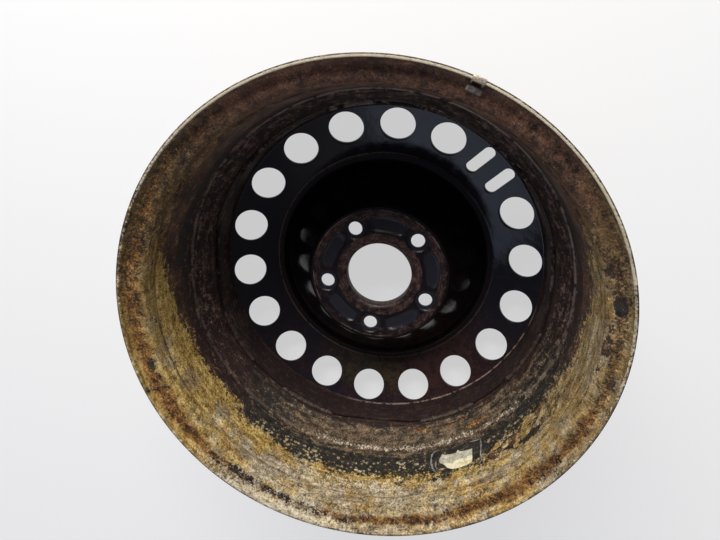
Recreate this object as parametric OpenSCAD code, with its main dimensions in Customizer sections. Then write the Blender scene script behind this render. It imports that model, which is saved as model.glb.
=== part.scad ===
// Pressed-steel road wheel: a rolled rim with a stamped disc welded into its well.
// The wheel lies flat with its inboard side up. The origin is the centre of the hub contact face, the
// axis is Z, and the slot pair, one bolt hole and the valve hole lie on the +Y side.

/* [Rim] */
// Diameter of the bead seat at the flange
bead_diameter = 405.6; // [380:0.1:432]
// Width between the inner faces of the two flanges
rim_width = 177.8; // [165:0.1:203]
// Distance from the hub contact face to the middle of the rim
wheel_offset = 39; // [35:0.5:44]
// Thickness of the rolled sheet
rim_thickness = 2.9; // [2.2:0.1:3.4]
// Height of the flange above the bead seat
flange_height = 17.5; // [16:0.1:20]
// Distance from a flange's inner face to the end of its lip
lip_length = 11.5; // [10.5:0.1:14]
// Radius of the flange's outer bend
flange_bend = 9.5; // [6:0.5:10]
// Radius of the bend where the tyre bead meets the flange
bead_bend = 6.5; // [4:0.5:8]
// Width of the bead seat
seat_width = 15; // [13:0.5:17]
// Taper of the bead seat
seat_taper = 5; // [3:0.5:7]
// Height of the safety hump above the end of the bead seat
hump_height = 1.7; // [0.8:0.1:2.4]
// Width of the safety hump
hump_width = 11; // [9:0.5:13]
// Radius at the crest and the feet of the hump
hump_bend = 5; // [3.5:0.5:6]
// Drop from the bead seat to the start of the barrel
barrel_drop = 2.3; // [1.5:0.1:4]
// Drop of the barrel from the hump to the shoulder of the well
barrel_taper_drop = 2.4; // [0:0.1:4]

/* [Rim well] */
// Depth of the well below the bead seat
well_depth = 17.9; // [15:0.1:22]
// Width of the flat bottom of the well, between its corners
well_width = 31; // [27:0.5:36]
// Distance from the outboard hump to the well's corner, along the axis
wall_run = 9; // [8:0.5:12]
// Length along the axis of the slope from the well up to the barrel
slope_run = 27; // [20:0.5:34]
// Radius of the bends at the foot and the shoulder of the well
well_bend = 6; // [4:0.5:7]
// Diameter of the valve hole in the well's outboard wall
valve_hole = 11.5; // [8.3:0.1:12]

/* [Disc] */
// Thickness of the disc
disc_thickness = 3.5; // [2.8:0.1:4.2]
// Diameter of the flat hub contact face
hub_pad_diameter = 145; // [141:0.5:152]
// Diameter of the centre bore
bore_diameter = 70.2; // [56:0.1:72]
// Depth of the bore's collar below the contact face
collar_depth = 12; // [9:0.5:16]
// Radius where the contact face turns into the collar
collar_bend = 5; // [4.5:0.25:6]
// Slope of the hat wall that falls from the contact face
hat_angle = 50; // [46:0.5:54]
// Radius at the edge of the contact face
pad_bend = 6; // [5:0.5:8]
// Radius in the valley of the crown
crown_bend = 9; // [6:0.5:11]
// Slope of the ring that holds the vents
vent_slope = 24.9; // [22:0.1:27]
// Drop from the contact face to the corner of the vent ring and the disc's flange
corner_drop = 23.7; // [20:0.1:27]
// Radius of that corner
corner_bend = 5; // [3:0.5:7]
// Gap between the disc's flange and the well it is pressed into
press_gap = 0.1; // [0.05:0.05:0.3]
// Number of scallops in the flange's free edge
scallop_count = 4; // [3:1:5]
// Depth of a scallop
scallop_depth = 6.5; // [3:0.5:9]
// Length of a scallop along the edge
scallop_length = 86; // [60:1:96]

/* [Vents] */
// Number of vent positions, one of which holds the slot pair
vent_count = 18; // [14:1:18]
// Diameter of a round vent
vent_diameter = 37; // [28:0.5:40]
// Distance from the flange's inner face to the centres of the vents
vent_inset = 21.1; // [20:0.1:25]
// Width of a slot
slot_width = 12.7; // [8:0.1:14]
// Length of a slot
slot_length = 38; // [26:0.5:40]
// Distance between the middles of the two slots
slot_spacing = 30; // [26:0.5:33]

/* [Bolts] */
// Number of wheel bolts
bolt_count = 5; // [4:1:5]
// Diameter of the bolt circle
bolt_circle = 115; // [112:0.5:118]
// Diameter of a bolt hole
bolt_hole = 14.8; // [12.5:0.1:15.5]
// Diameter of the dish round a bolt hole on the contact face
bolt_dish = 25; // [22:0.5:27]
// Depth of that dish
dish_depth = 1.8; // [1:0.1:2.2]
// Height of the bolt boss on the outboard side
boss_height = 4; // [3:0.1:6]
// Full angle of the conical bolt seat
seat_angle = 60; // [50:1:70]
// Depth of the conical bolt seat
seat_depth = 3.6; // [2.5:0.1:4.2]
// Width of the pockets pressed between the bolts
pocket_width = 17; // [13:0.5:18]
// Depth of a pocket
pocket_depth = 2.2; // [1.2:0.1:2.8]
// Angle between the middles of a pocket's two round ends
pocket_span = 24; // [18:1:26]
// Radius of a pocket's ends, as a multiple of half its width
pocket_rounding = 1.2; // [1.1:0.05:1.3]

/* [Welds] */
// Length of a weld's legs along the disc edge and the rim
weld_leg = 3.4; // [2.4:0.1:4]
// Bulge of the weld's face
weld_bulge = 0.7; // [0.2:0.1:1]
// Angle that one seam covers
weld_span = 22; // [14:1:23]
// Angle between the middles of the two seams on one stretch of edge
weld_spread = 36; // [30:1:37]
// Distance from the weld's toe to the bend at the top of the well
weld_setback = 1.2; // [0.6:0.1:2.5]
// Gap between a seam and the two surfaces that it joins
weld_gap = 0.05; // [0.02:0.01:0.2]

/* [Balance weight] */
// Angle of the weight from the slot pair, anticlockwise from above
weight_angle = 22.6; // [0:0.1:359]
// Width of the weight along the rim
weight_width = 13; // [10:0.5:30]
// Thickness of the weight's body
weight_thickness = 3.6; // [2.5:0.1:6]
// Length of the weight along the flat of the flange's face
weight_reach = 2; // [1:0.5:8]
// Width of the spring clip
clip_width = 10.5; // [6:0.5:12]
// Thickness of the spring clip
clip_thickness = 0.8; // [0.5:0.05:1]
// Depth of the clip's hook on the tyre side of the lip
clip_hook = 5; // [3:0.5:7]
// Gap between the weight, the clip and the lip
clip_gap = 0.1; // [0.05:0.05:0.3]

/* [Adhesive pad] */
// Angle of the pad from the slot pair, clockwise from above
pad_angle = 107.1; // [0:0.1:359]
// Height of the middle of the pad above the contact face
pad_height = 74; // [60:0.1:80]
// Length of the pad round the barrel
pad_length = 38; // [20:0.5:60]
// Width of the pad along the axis
pad_width = 22; // [12:0.5:26]
// Thickness of the pad
pad_thickness = 0.9; // [0.5:0.1:2]
// Gap between the pad and the barrel
pad_gap = 0.15; // [0.1:0.05:0.3]

/* [Hidden] */
$fn = 180;
// Largest turn between two points of a bend
bend_step = 15;
// How far a cutter reaches past the face that it cuts
cut_margin = 1;
// Side that carries the slot pair and the valve hole
index_angle = 90;

// Rim section
bead_r = bead_diameter / 2;
flange_r = bead_r + flange_height;
half_width = rim_width / 2;
seat_end_r = bead_r - seat_width * tan(seat_taper);
hump_r = seat_end_r + hump_height;
hump_mid = seat_width + hump_width / 2;
hump_end = seat_width + hump_width;
barrel_r = bead_r - barrel_drop;
shoulder_r = barrel_r - barrel_taper_drop;
well_r = bead_r - well_depth;
well_inner_r = well_r - rim_thickness;

// Heights on the axis
outboard_face_z = wheel_offset - half_width;
inboard_face_z = wheel_offset + half_width;
outboard_lip_z = outboard_face_z - lip_length;
inboard_lip_z = inboard_face_z + lip_length;
wall_top_z = outboard_face_z + hump_end;
well_low_z = wall_top_z + wall_run;
well_high_z = well_low_z + well_width;
shoulder_z = well_high_z + slope_run;
barrel_end_z = inboard_face_z - hump_end;

// Tyre side of the rim from the outboard lip up to the inboard lip
rim_path = [
    [flange_r, outboard_lip_z],
    [flange_r, outboard_face_z],
    [bead_r, outboard_face_z],
    [seat_end_r, outboard_face_z + seat_width],
    [hump_r, outboard_face_z + hump_mid],
    [barrel_r, wall_top_z],
    [well_r, well_low_z],
    [well_r, well_high_z],
    [shoulder_r, shoulder_z],
    [barrel_r, barrel_end_z],
    [hump_r, inboard_face_z - hump_mid],
    [seat_end_r, inboard_face_z - seat_width],
    [bead_r, inboard_face_z],
    [flange_r, inboard_face_z],
    [flange_r, inboard_lip_z]
];
rim_bends = [
    0, flange_bend, bead_bend, hump_bend, hump_bend, hump_bend, well_bend, well_bend,
    well_bend, hump_bend, hump_bend, hump_bend, bead_bend, flange_bend, 0
];

// Where the bend at the top of the well leaves the cylinder that the disc is pressed into
slope_angle = atan2(shoulder_r - well_r, slope_run);
well_bend_run = (well_bend + rim_thickness) * tan(slope_angle / 2);
well_offset_rise = rim_thickness * tan(slope_angle / 2);
well_flat_top_z = well_high_z + well_offset_rise - well_bend_run;

// Disc section
bore_r = bore_diameter / 2;
disc_outer_r = well_inner_r - press_gap;
disc_inner_r = disc_outer_r - disc_thickness;
edge_z = well_flat_top_z - weld_setback - weld_leg;
corner_z = -corner_drop;
pad_edge_r = hub_pad_diameter / 2 + pad_bend * tan(hat_angle / 2);
crown_r = (corner_z - disc_inner_r * tan(vent_slope) - pad_edge_r * tan(hat_angle))
    / (-tan(hat_angle) - tan(vent_slope));
crown_z = -(crown_r - pad_edge_r) * tan(hat_angle);

// Side of the disc that faces inboard, from the collar's end out to the flange's free edge
disc_path = [
    [bore_r, -collar_depth],
    [bore_r, 0],
    [pad_edge_r, 0],
    [crown_r, crown_z],
    [disc_inner_r, corner_z],
    [disc_inner_r, edge_z]
];
disc_bends = [0, collar_bend, pad_bend, crown_bend, corner_bend, 0];

// Vents and bolts
vent_r = disc_inner_r - vent_inset;
vent_face_z = corner_z - vent_inset * tan(vent_slope);
vent_mid_z = vent_face_z - disc_thickness / cos(vent_slope) / 2;
vent_cut = 4 * disc_thickness;
vent_pitch = 360 / vent_count;
bolt_r = bolt_circle / 2;
bolt_pitch = 360 / bolt_count;
boss_low_z = -disc_thickness - boss_height;

// Scallops: circles seen along the radius, cut into the flange's edge between the seams
scallop_r = (pow(scallop_length / 2, 2) + pow(scallop_depth, 2)) / (2 * scallop_depth);
scallop_pitch = 360 / scallop_count;

// Inboard flange as the balance weight meets it
lip_inner_r = flange_r - rim_thickness;
flange_top_z = inboard_face_z + rim_thickness;
lip_inner_bend = flange_bend - rim_thickness;

// Direction from a to b
function heading(a, b) = (b - a) / norm(b - a);

// A direction turned a quarter to the left
function left_of(d) = [-d.y, d.x];

// A point turned by an angle about the origin
function turned(p, a) = [p.x * cos(a) - p.y * sin(a), p.x * sin(a) + p.y * cos(a)];

// Where the line through p along d meets the line through q along e
function meet(p, d, q, e) = p + d * cross(q - p, e) / cross(d, e);

// A list in the opposite order
function reversed(list) = [for (i = [len(list) - 1:-1:0]) list[i]];

// A path moved sideways, by t to its left
function shifted(path, t) = let (last = len(path) - 1) [
    for (i = [0:last])
        let (
            d = heading(path[max(i - 1, 0)], path[max(i, 1)]),
            e = heading(path[min(i, last - 1)], path[min(i + 1, last)])
        )
        i == 0 || i == last
            ? path[i] + t * left_of(d)
            : meet(path[i] + t * left_of(d), d, path[i] + t * left_of(e), e)
];

// Bend radii of a path moved sideways, by t to its left
function shifted_bends(path, bends, t) = [
    for (i = [0:len(path) - 1])
        bends[i] == 0
            ? 0
            : bends[i] - t * sign(cross(path[i] - path[i - 1], path[i + 1] - path[i]))
];

// Points of the arc that rounds corner b, between directions d and e
function arc_points(b, d, e, r) = let (
    turn = atan2(cross(d, e), d * e),
    start = b - d * r * tan(abs(turn) / 2),
    centre = start + left_of(d) * r * sign(turn),
    steps = ceil(abs(turn) / bend_step)
) [for (k = [0:steps]) centre + turned(start - centre, turn * k / steps)];

// A path with each corner rounded by its bend radius
function rounded(path, bends) = [
    for (i = [0:len(path) - 1])
        each bends[i] == 0
            ? [path[i]]
            : arc_points(path[i], heading(path[i - 1], path[i]), heading(path[i], path[i + 1]), bends[i])
];

// Section of a bent sheet: a rounded path, and the same path a thickness t to its left
function sheet(path, bends, t) = concat(
    rounded(path, bends),
    reversed(rounded(shifted(path, t), shifted_bends(path, bends, t)))
);

// A section swept round the axis about a middle angle
module swept(middle, span) {
    rotate([0, 0, middle - span / 2])
        rotate_extrude(angle = span)
            children();
}

// Copies of a shape spaced evenly round the axis, the first one on the index side
module ring_of(count, first = 0) {
    for (i = [first:count - 1])
        rotate([0, 0, index_angle + i * 360 / count])
            children();
}

// Rolled rim with the valve hole in the outboard wall of the well
module rim() {
    color("#6b5232")
        difference() {
            rotate_extrude()
                polygon(sheet(rim_path, rim_bends, rim_thickness));
            rotate([0, 0, index_angle])
                valve_cutter();
        }
}

// Cutter square to the well's outboard wall, midway between the bends at its foot and its top
module valve_cutter() {
    foot = [well_r, well_low_z];
    top = [barrel_r, wall_top_z];
    wall_angle = atan2(barrel_r - well_r, wall_run);
    hump_angle = atan2(hump_r - barrel_r, hump_width / 2);
    foot_run = well_bend * tan(wall_angle / 2);
    top_run = hump_bend * tan((wall_angle - hump_angle) / 2);
    middle = (foot + top + (foot_run - top_run) * heading(foot, top)) / 2;
    translate([middle.x, 0, middle.y])
        rotate([0, 90 - wall_angle, 0])
            cylinder(d = valve_hole, h = 6 * rim_thickness, center = true);
}

// Stamped disc: bore collar, contact face, hat, vent ring and flange
module disc() {
    color("#17161a")
        difference() {
            union() {
                rotate_extrude()
                    polygon(sheet(disc_path, disc_bends, -disc_thickness));
                ring_of(bolt_count)
                    bolt_boss();
                ring_of(bolt_count)
                    pocket_bump();
            }
            ring_of(bolt_count)
                bolt_cutter();
            ring_of(bolt_count)
                pocket_cutter();
            ring_of(vent_count, 1)
                vent_cutter();
            rotate([0, 0, index_angle])
                for (side = [-1, 1])
                    slot_cutter(side);
            ring_of(scallop_count)
                scallop_cutter();
        }
}

// Boss on the outboard side that carries one bolt seat
module bolt_boss() {
    top_r = bolt_hole / 2 + seat_depth * tan(seat_angle / 2) + disc_thickness / 2;
    height = boss_height + disc_thickness / 2;
    translate([bolt_r, 0, boss_low_z])
        cylinder(r1 = top_r, r2 = top_r + height / 2, h = height);
}

// Bolt hole with its dish on the contact face and its conical seat on the outboard side
module bolt_cutter() {
    seat_r = bolt_hole / 2 + seat_depth * tan(seat_angle / 2);
    flare = cut_margin * tan(seat_angle / 2);
    translate([bolt_r, 0, boss_low_z - cut_margin]) {
        cylinder(d = bolt_hole, h = 2 * (disc_thickness + boss_height));
        cylinder(r1 = seat_r + flare, r2 = bolt_hole / 2, h = seat_depth + cut_margin);
    }
    translate([bolt_r, 0, -dish_depth])
        cylinder(r1 = bolt_dish / 2 - dish_depth, r2 = bolt_dish / 2 + cut_margin, h = dish_depth + cut_margin);
}

// Kidney between two bolts, with sloped sides: half its width is low_r at low_z and high_r at high_z
module kidney(low_r, low_z, high_r, high_z) {
    middle = bolt_pitch / 2;
    end_span = asin(pocket_rounding * high_r / bolt_r);
    difference() {
        swept(middle, pocket_span + 4 * end_span)
            polygon([
                [bolt_r - low_r, low_z],
                [bolt_r + low_r, low_z],
                [bolt_r + high_r, high_z],
                [bolt_r - high_r, high_z]
            ]);
        for (side = [0, 1])
            rotate([0, 0, middle])
                mirror([0, side, 0])
                    rotate([0, 0, pocket_span / 2])
                        translate([bolt_r, 0, low_z])
                            kidney_end(low_r, high_r, high_z - low_z);
    }
}

// What is left standing beyond the round end of a kidney
module kidney_end(low_r, high_r, height) {
    reach = 3 * high_r;
    flare = (high_r - low_r) / height * cut_margin;
    difference() {
        translate([-reach, 0, -cut_margin])
            cube([2 * reach, reach, height + 2 * cut_margin]);
        translate([0, 0, -2 * cut_margin])
            cylinder(
                r1 = pocket_rounding * (low_r - 2 * flare),
                r2 = pocket_rounding * (high_r + 2 * flare),
                h = height + 4 * cut_margin
            );
    }
}

// Pocket pressed into the contact face
module pocket_cutter() {
    half = pocket_width / 2;
    kidney(half - pocket_depth, -pocket_depth, half + cut_margin, cut_margin);
}

// The same pocket where it stands out on the outboard side
module pocket_bump() {
    half = pocket_width / 2;
    bury = disc_thickness / 2;
    kidney(half - pocket_depth, -disc_thickness - pocket_depth, half + bury, bury - disc_thickness);
}

// Round vent, square to the vent ring
module vent_cutter() {
    translate([vent_r, 0, vent_mid_z])
        rotate([0, -vent_slope, 0])
            cylinder(d = vent_diameter, h = vent_cut, center = true);
}

// One of the two slots that take the place of a vent
module slot_cutter(side) {
    straight = slot_length - slot_width;
    translate([vent_r, side * slot_spacing / 2, vent_mid_z])
        rotate([0, -vent_slope, 0]) {
            cube([straight, slot_width, vent_cut], center = true);
            for (end = [-1, 1])
                translate([end * straight / 2, 0, 0])
                    cylinder(d = slot_width, h = vent_cut, center = true);
        }
}

// Shallow scallop in the flange's free edge, midway between two stretches of weld
module scallop_cutter() {
    rotate([0, 0, scallop_pitch / 2])
        translate([disc_inner_r - cut_margin, 0, edge_z - scallop_depth + scallop_r])
            rotate([0, 90, 0])
                cylinder(r = scallop_r, h = disc_thickness + 2 * cut_margin);
}

// Fillet welds between the disc's free edge and the well, two seams on each stretch of edge
module weld_seams() {
    root = [well_inner_r - weld_gap, edge_z + weld_gap];
    toe = root - [weld_leg, 0];
    run = [weld_leg, weld_leg];
    face = [
        for (s = [0:0.125:1])
            toe + s * run + weld_bulge * sin(180 * s) * left_of(run / norm(run))
    ];
    color("#4a3a2c")
        ring_of(scallop_count)
            for (side = [-1, 1])
                swept(side * weld_spread / 2, weld_span)
                    polygon(concat([root], reversed(face)));
}

// Inside of the inboard flange from its face up to the end of the lip
function lip_path(reach) = [
    [lip_inner_r - lip_inner_bend - reach, flange_top_z],
    [lip_inner_r, flange_top_z],
    [lip_inner_r, inboard_lip_z]
];
lip_bends = [0, lip_inner_bend, 0];

// Angle that a width covers at the lip
function lip_span(width) = 2 * asin(width / 2 / flange_r);

// Spring clip that hooks over the lip and follows the flange under the weight's body
module weight_clip() {
    path = concat(
        lip_path(weight_reach),
        [[flange_r, inboard_lip_z], [flange_r, inboard_lip_z - clip_hook]]
    );
    bends = concat([0, lip_inner_bend], [0, 0, 0]);
    hook = shifted(path, clip_gap);
    color("#8a8478")
        swept(index_angle + weight_angle, lip_span(clip_width))
            polygon(sheet(hook, shifted_bends(path, bends, clip_gap), clip_thickness));
}

// Cast body of the balance weight, seated in the bend of the flange on top of the clip
module balance_weight() {
    seat = clip_gap + clip_thickness + clip_gap;
    under = shifted(lip_path(weight_reach), seat);
    over = shifted(lip_path(weight_reach), seat + weight_thickness);
    drop = [0, -weight_thickness];
    color("#4c4a46")
        swept(index_angle + weight_angle, lip_span(weight_width))
            polygon(concat(
                rounded(under, shifted_bends(lip_path(weight_reach), lip_bends, seat)),
                [over[2] + drop, (over[0] + over[1]) / 2, over[0]]
            ));
}

// Torn strip of adhesive foam on the inside of the barrel
module adhesive_pad() {
    slope = (barrel_r - shoulder_r) / (barrel_end_z - shoulder_z);
    tilt = rim_thickness * (sqrt(1 + slope * slope) - 1);
    mid_r = shoulder_r + (pad_height - shoulder_z) * slope - rim_thickness - tilt - pad_gap;
    rise = [slope, 1] * pad_width / 2;
    middle = [mid_r, pad_height];
    inward = [-pad_thickness, 0];
    color("#d9cfa4")
        swept(index_angle - pad_angle, 2 * asin(pad_length / 2 / mid_r))
            polygon([middle - rise, middle + rise, middle + rise + inward, middle - rise + inward]);
}

rim();
disc();
weld_seams();
weight_clip();
balance_weight();
adhesive_pad();
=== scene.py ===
import math
from functools import partial
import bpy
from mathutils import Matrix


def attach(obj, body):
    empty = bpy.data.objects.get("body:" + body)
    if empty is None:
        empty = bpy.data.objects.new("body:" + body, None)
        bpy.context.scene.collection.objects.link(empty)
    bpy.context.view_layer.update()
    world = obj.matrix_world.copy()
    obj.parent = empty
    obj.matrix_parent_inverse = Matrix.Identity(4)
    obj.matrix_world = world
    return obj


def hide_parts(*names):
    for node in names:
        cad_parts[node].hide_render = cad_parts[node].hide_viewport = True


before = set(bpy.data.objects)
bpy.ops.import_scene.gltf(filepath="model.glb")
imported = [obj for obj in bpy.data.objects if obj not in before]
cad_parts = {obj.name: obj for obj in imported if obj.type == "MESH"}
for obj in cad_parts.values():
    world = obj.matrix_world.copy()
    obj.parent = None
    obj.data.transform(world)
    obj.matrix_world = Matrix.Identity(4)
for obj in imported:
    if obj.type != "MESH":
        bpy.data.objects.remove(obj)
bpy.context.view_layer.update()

from types import SimpleNamespace

import bmesh
import bpy
import numpy as np
from mathutils import Matrix, Vector, noise

MM = 0.001

# Rim, in millimetres as in the solids: radii, heights and bends of the rolled section, its cut edges, the valve hole
BEAD_R, FLANGE_R, RIM_T = 202.8, 220.3, 2.9
BARREL_R, SHOULDER_R, WELL_R = 200.5, 198.1, 184.9
SEAT_END_R, SEAT_WIDTH, HUMP_R, HUMP_FROM_FACE = 201.488, 15, 203.188, 20.5
LIP_LOW, FACE_LOW, WALL_TOP, WELL_LOW, WELL_HIGH = -61.4, -49.9, -23.9, -14.9, 16.1
SHOULDER_Z, BARREL_END, FACE_HIGH, LIP_HIGH = 43.1, 101.9, 127.9, 139.4
FLANGE_BEND, SEAT_BEND, HUMP_BEND, WELL_BEND, LIP_SOFT = 9.5, 6.5, 5, 6, 0.6
VALVE_AT, VALVE_WAY, VALVE_R = (0, 193.54, -19.88), (0, 0.499722, 0.866186), 5.75
RIM_TURNS, HOLE_STEPS, HOLE_REACH = 400, 48, 7

# Disc: contact face at height 0, hat, sloped vent ring, flange pressed into the well
INDEX, DISC_TURNS = 90.0, 360
DISC_T, BORE_R, COLLAR, PAD_EDGE_R, EDGE_Z = 3.5, 35.1, 12.0, 75.298, 10.11
CROWN, CORNER, BETA = (118.51, -51.5), (178.4, -23.7), math.radians(24.9)
VENTS, VENT_R, VENT_HOLE, VENT_SOFT = 18, 157.3, 18.5, 0.5
SLOT_OFF, SLOT_HALF, SLOT_R = 15.0, 12.65, 6.35
BOLTS, BOLT_R, BOLT_HOLE, BOLT_SOFT = 5, 57.5, 7.4, 0.4
POCKET_HALF, POCKET_SPAN, POCKET_DEEP, DISH_DEEP = 8.5, 24, 2.2, 1.8
SCALLOP_STEP, SCALLOP_DEEP, SCALLOP_R, SCALLOP_HALF = 90, 6.5, 145.5, 43
FREE_EDGE_SOFT = 0.6
# Radii at which the disc's stretches of mesh meet
PAD_LOW_R, PAD_HIGH_R, RING_LOW_R, RING_HIGH_R = 41.0, 71.6, 127.0, 175.4

# Weld seams, balance weight and adhesive pad
WELD_ANGLES, WELD_SPAN, WELD_R, WELD_LEG = (18, 72, 108, 162, 198, 252, 288, 342), 22, 182.0, 3.4
WELD_STEPS, WELD_POINTS, WELD_GAP = 110, 9, 0.1
WEIGHT_ANGLE, WEIGHT_WIDTH, WEIGHT_T, WEIGHT_GAP = 112.6, 13.0, 3.6, 1.0
CLIP_WIDTH, CLIP_T, CLIP_GAP, CLIP_LEG = 10.5, 0.8, 0.1, 1.7
PAD_ANGLE, PAD_R, PAD_MIDDLE = -17.1, 196.4, (2.0, 74.0)
PAD_OUTLINE = (
    (-19.1, 67.2), (-17.2, 63.2), (-15.3, 58.6), (-12, 60.6), (-8.1, 61.3), (-2.8, 62.7), (1.4, 62.1), (2.9, 58.8),
    (5.6, 62.5), (12.9, 64.6), (19.6, 65.4), (19.3, 70), (19.1, 75.9), (17.7, 84.0), (11.5, 86.1), (2.3, 86.0),
    (-3.6, 85.2), (-9.5, 81.0), (-13.6, 74.6), (-17.6, 71.2))
# Rings of the foam, each (share of the outline, height)
PAD_RINGS = ((1.0, 0.02), (1.0, 0.5), (0.97, 0.85), (0.9, 0.95), (0.78, 0.9), (0.62, 0.9), (0.45, 0.9),
             (0.28, 0.9), (0.12, 0.9))
GLUE_LINES = (
    ((-21, 50.6), (-26, 53), (-27.2, 58), (-27.7, 65.7), (-25.9, 76.3), (-23, 82), (-20.4, 85.2)),
    ((-25, 88), (-21, 91), (-17.8, 92.5)),
    ((30.1, 54.5), (29.8, 65.5), (28.3, 77.4), (28.6, 86.3), (26.2, 91.4)),
    ((16.7, 52.8), (21.5, 54.6), (26.6, 54.9), (31.7, 55.5)),
    ((-21.5, 66), (-22.5, 74), (-20.5, 79)))
GLUE_SECTION = ((-1, -0.6, 0.6, 1), (0.02, 0.2, 0.2, 0.02))
SHARP, SHARP_CAST = math.radians(50), math.radians(45)

# Angle of the picture's right-hand side in the wheel's plane: angles of the wear and the lamps count from it
VIEW_TURN = 48.2

# Depth of the flange's face below the lip, the middle of the face, and the middle of the rim's width
FACE_DEPTH, FACE_R, MIDDLE_Z = 13, 210, 39

# Colour ramps over the mottle of a material, as stops of (mottle, colour)
RUST = ((0.12, (0.008, 0.005, 0.0045)), (0.36, (0.034, 0.018, 0.0135)), (0.54, (0.098, 0.05, 0.032)),
        (0.72, (0.2, 0.108, 0.066)), (0.9, (0.38, 0.24, 0.15)))
RIM_RAMPS = dict(
    paint=((0.2, (0.007, 0.0065, 0.006)), (0.55, (0.024, 0.0215, 0.018)), (0.85, (0.085, 0.074, 0.057))),
    warm_paint=((0.2, (0.0085, 0.0052, 0.0052)), (0.55, (0.034, 0.0188, 0.0178)), (0.85, (0.105, 0.064, 0.052))),
    grey_dust=((0.15, (0.028, 0.018, 0.01)), (0.5, (0.13, 0.09, 0.052)), (0.85, (0.36, 0.255, 0.165))),
    pink_dust=((0.15, (0.03, 0.016, 0.013)), (0.5, (0.13, 0.082, 0.068)), (0.85, (0.35, 0.245, 0.205))),
    gold=((0.1, (0.024, 0.014, 0.007)), (0.3, (0.14, 0.079, 0.02)), (0.48, (0.365, 0.235, 0.06)),
          (0.66, (0.57, 0.4, 0.125)), (0.85, (0.88, 0.72, 0.37))),
    beige=((0.1, (0.032, 0.023, 0.015)), (0.3, (0.128, 0.097, 0.062)), (0.48, (0.305, 0.243, 0.156)),
           (0.66, (0.51, 0.43, 0.3)), (0.85, (0.84, 0.76, 0.59))),
    amber=((0.15, (0.04, 0.02, 0.008)), (0.45, (0.22, 0.115, 0.034)), (0.65, (0.42, 0.26, 0.095)),
           (0.85, (0.74, 0.55, 0.28))),
    tan=((0.15, (0.026, 0.015, 0.007)), (0.4, (0.098, 0.061, 0.023)), (0.6, (0.2, 0.131, 0.05)),
         (0.85, (0.43, 0.3, 0.13))),
    flush=((0.15, (0.026, 0.012, 0.009)), (0.5, (0.12, 0.055, 0.035)), (0.85, (0.28, 0.142, 0.09))),
    scuff=((0.2, (0.05, 0.034, 0.026)), (0.5, (0.15, 0.105, 0.078)), (0.8, (0.33, 0.26, 0.2))),
    flame=((0.15, (0.018, 0.009, 0.006)), (0.4, (0.096, 0.041, 0.014)), (0.62, (0.3, 0.136, 0.035)),
           (0.85, (0.62, 0.34, 0.1))),
    brick=((0.15, (0.018, 0.008, 0.0065)), (0.4, (0.085, 0.032, 0.019)), (0.62, (0.2, 0.082, 0.044)),
           (0.85, (0.4, 0.19, 0.11))),
    # Pale wear and painted highlights
    pale=((0.2, (0.26, 0.2, 0.125)), (0.5, (0.5, 0.43, 0.31)), (0.8, (0.78, 0.72, 0.58))),
)
# Colours of the painted highlights on the top of the lip's cut edge and along the ridge, and the ridge's height in
# metres
LIP_HIGHLIGHT, RIDGE_HIGHLIGHT, RIDGE_Z = (0.68, 0.61, 0.45), (0.36, 0.3, 0.26), 0.0412
HUB_RUST = ((0.2, (0.0135, 0.0068, 0.0065)), (0.5, (0.054, 0.0275, 0.0245)), (0.8, (0.156, 0.09, 0.074)))
DISC_RAMPS = dict(
    red=((0.25, (0.022, 0.0065, 0.0045)), (0.75, (0.074, 0.023, 0.014))),
    olive=((0.25, (0.015, 0.0105, 0.0035)), (0.75, (0.054, 0.038, 0.012))),
    grime=((0.2, (0.0085, 0.0038, 0.004)), (0.55, (0.035, 0.017, 0.0165)), (0.85, (0.11, 0.063, 0.055))),
    shade=((0.2, (0.004, 0.0012, 0.0011)), (0.55, (0.0145, 0.0048, 0.0038)), (0.85, (0.05, 0.02, 0.0145))),
)
BLACK, BLUE_BLACK = (0.0092, 0.0066, 0.0102), (0.023, 0.024, 0.035)
# Colour and radius in metres of the painted highlight along the crown, and the colour of the flange's bare edge
CROWN_HIGHLIGHT, CROWN_HIGHLIGHT_R, BRINK = (0.24, 0.165, 0.1), 0.1255, (0.25, 0.2, 0.17)
# Thin pale lines in metres, each (place, strength), mostly painted highlights over worn edges: circles by radius,
# scratches of the flange by height
CIRCLES, CIRCLE = ((0.0371, 0.4), (0.0447, 0.25), (0.0629, 0.25), (0.0722, 1.0), (0.177, 1.0)), (0.32, 0.23, 0.18)
SCRATCH_GLINTS, SCRATCH_GLINT = ((-0.0165, 0.6), (-0.0105, 0.9), (-0.003, 0.5), (0.0045, 0.8), (0.008, 0.5)), (0.3, 0.25, 0.22)
PAD_RAMPS = dict(
    grey=((0.15, (0.16, 0.13, 0.08)), (0.45, (0.44, 0.41, 0.31)), (0.75, (0.68, 0.66, 0.55))),
    cream=((0.15, (0.3, 0.24, 0.11)), (0.45, (0.72, 0.64, 0.38)), (0.75, (0.9, 0.86, 0.66))),
    smear=((0.2, (0.08, 0.08, 0.068)), (0.5, (0.25, 0.255, 0.23)), (0.8, (0.45, 0.46, 0.42))),
)


def unit(v):
    return v / np.linalg.norm(v)


def left_of(d):
    return np.array((-d[1], d[0]))


def cross2(a, b):
    return a[0] * b[1] - a[1] * b[0]


def moved(path, bends, t):
    """The path a distance t to its left, with its bend radii."""
    out, radii = [], []
    last = len(path) - 1
    for i, p in enumerate(path):
        d = unit(path[max(i, 1)] - path[max(i - 1, 0)])
        e = unit(path[min(i + 1, last)] - path[min(i, last - 1)])
        turn = cross2(d, e)
        if abs(turn) < 1e-9:
            out.append(p + t * left_of(d))
        else:
            a, b = p + t * left_of(d), p + t * left_of(e)
            out.append(a + d * cross2(b - a, e) / turn)
        radii.append(bends[i] - t * np.sign(turn) if bends[i] else 0)
    return out, radii


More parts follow.
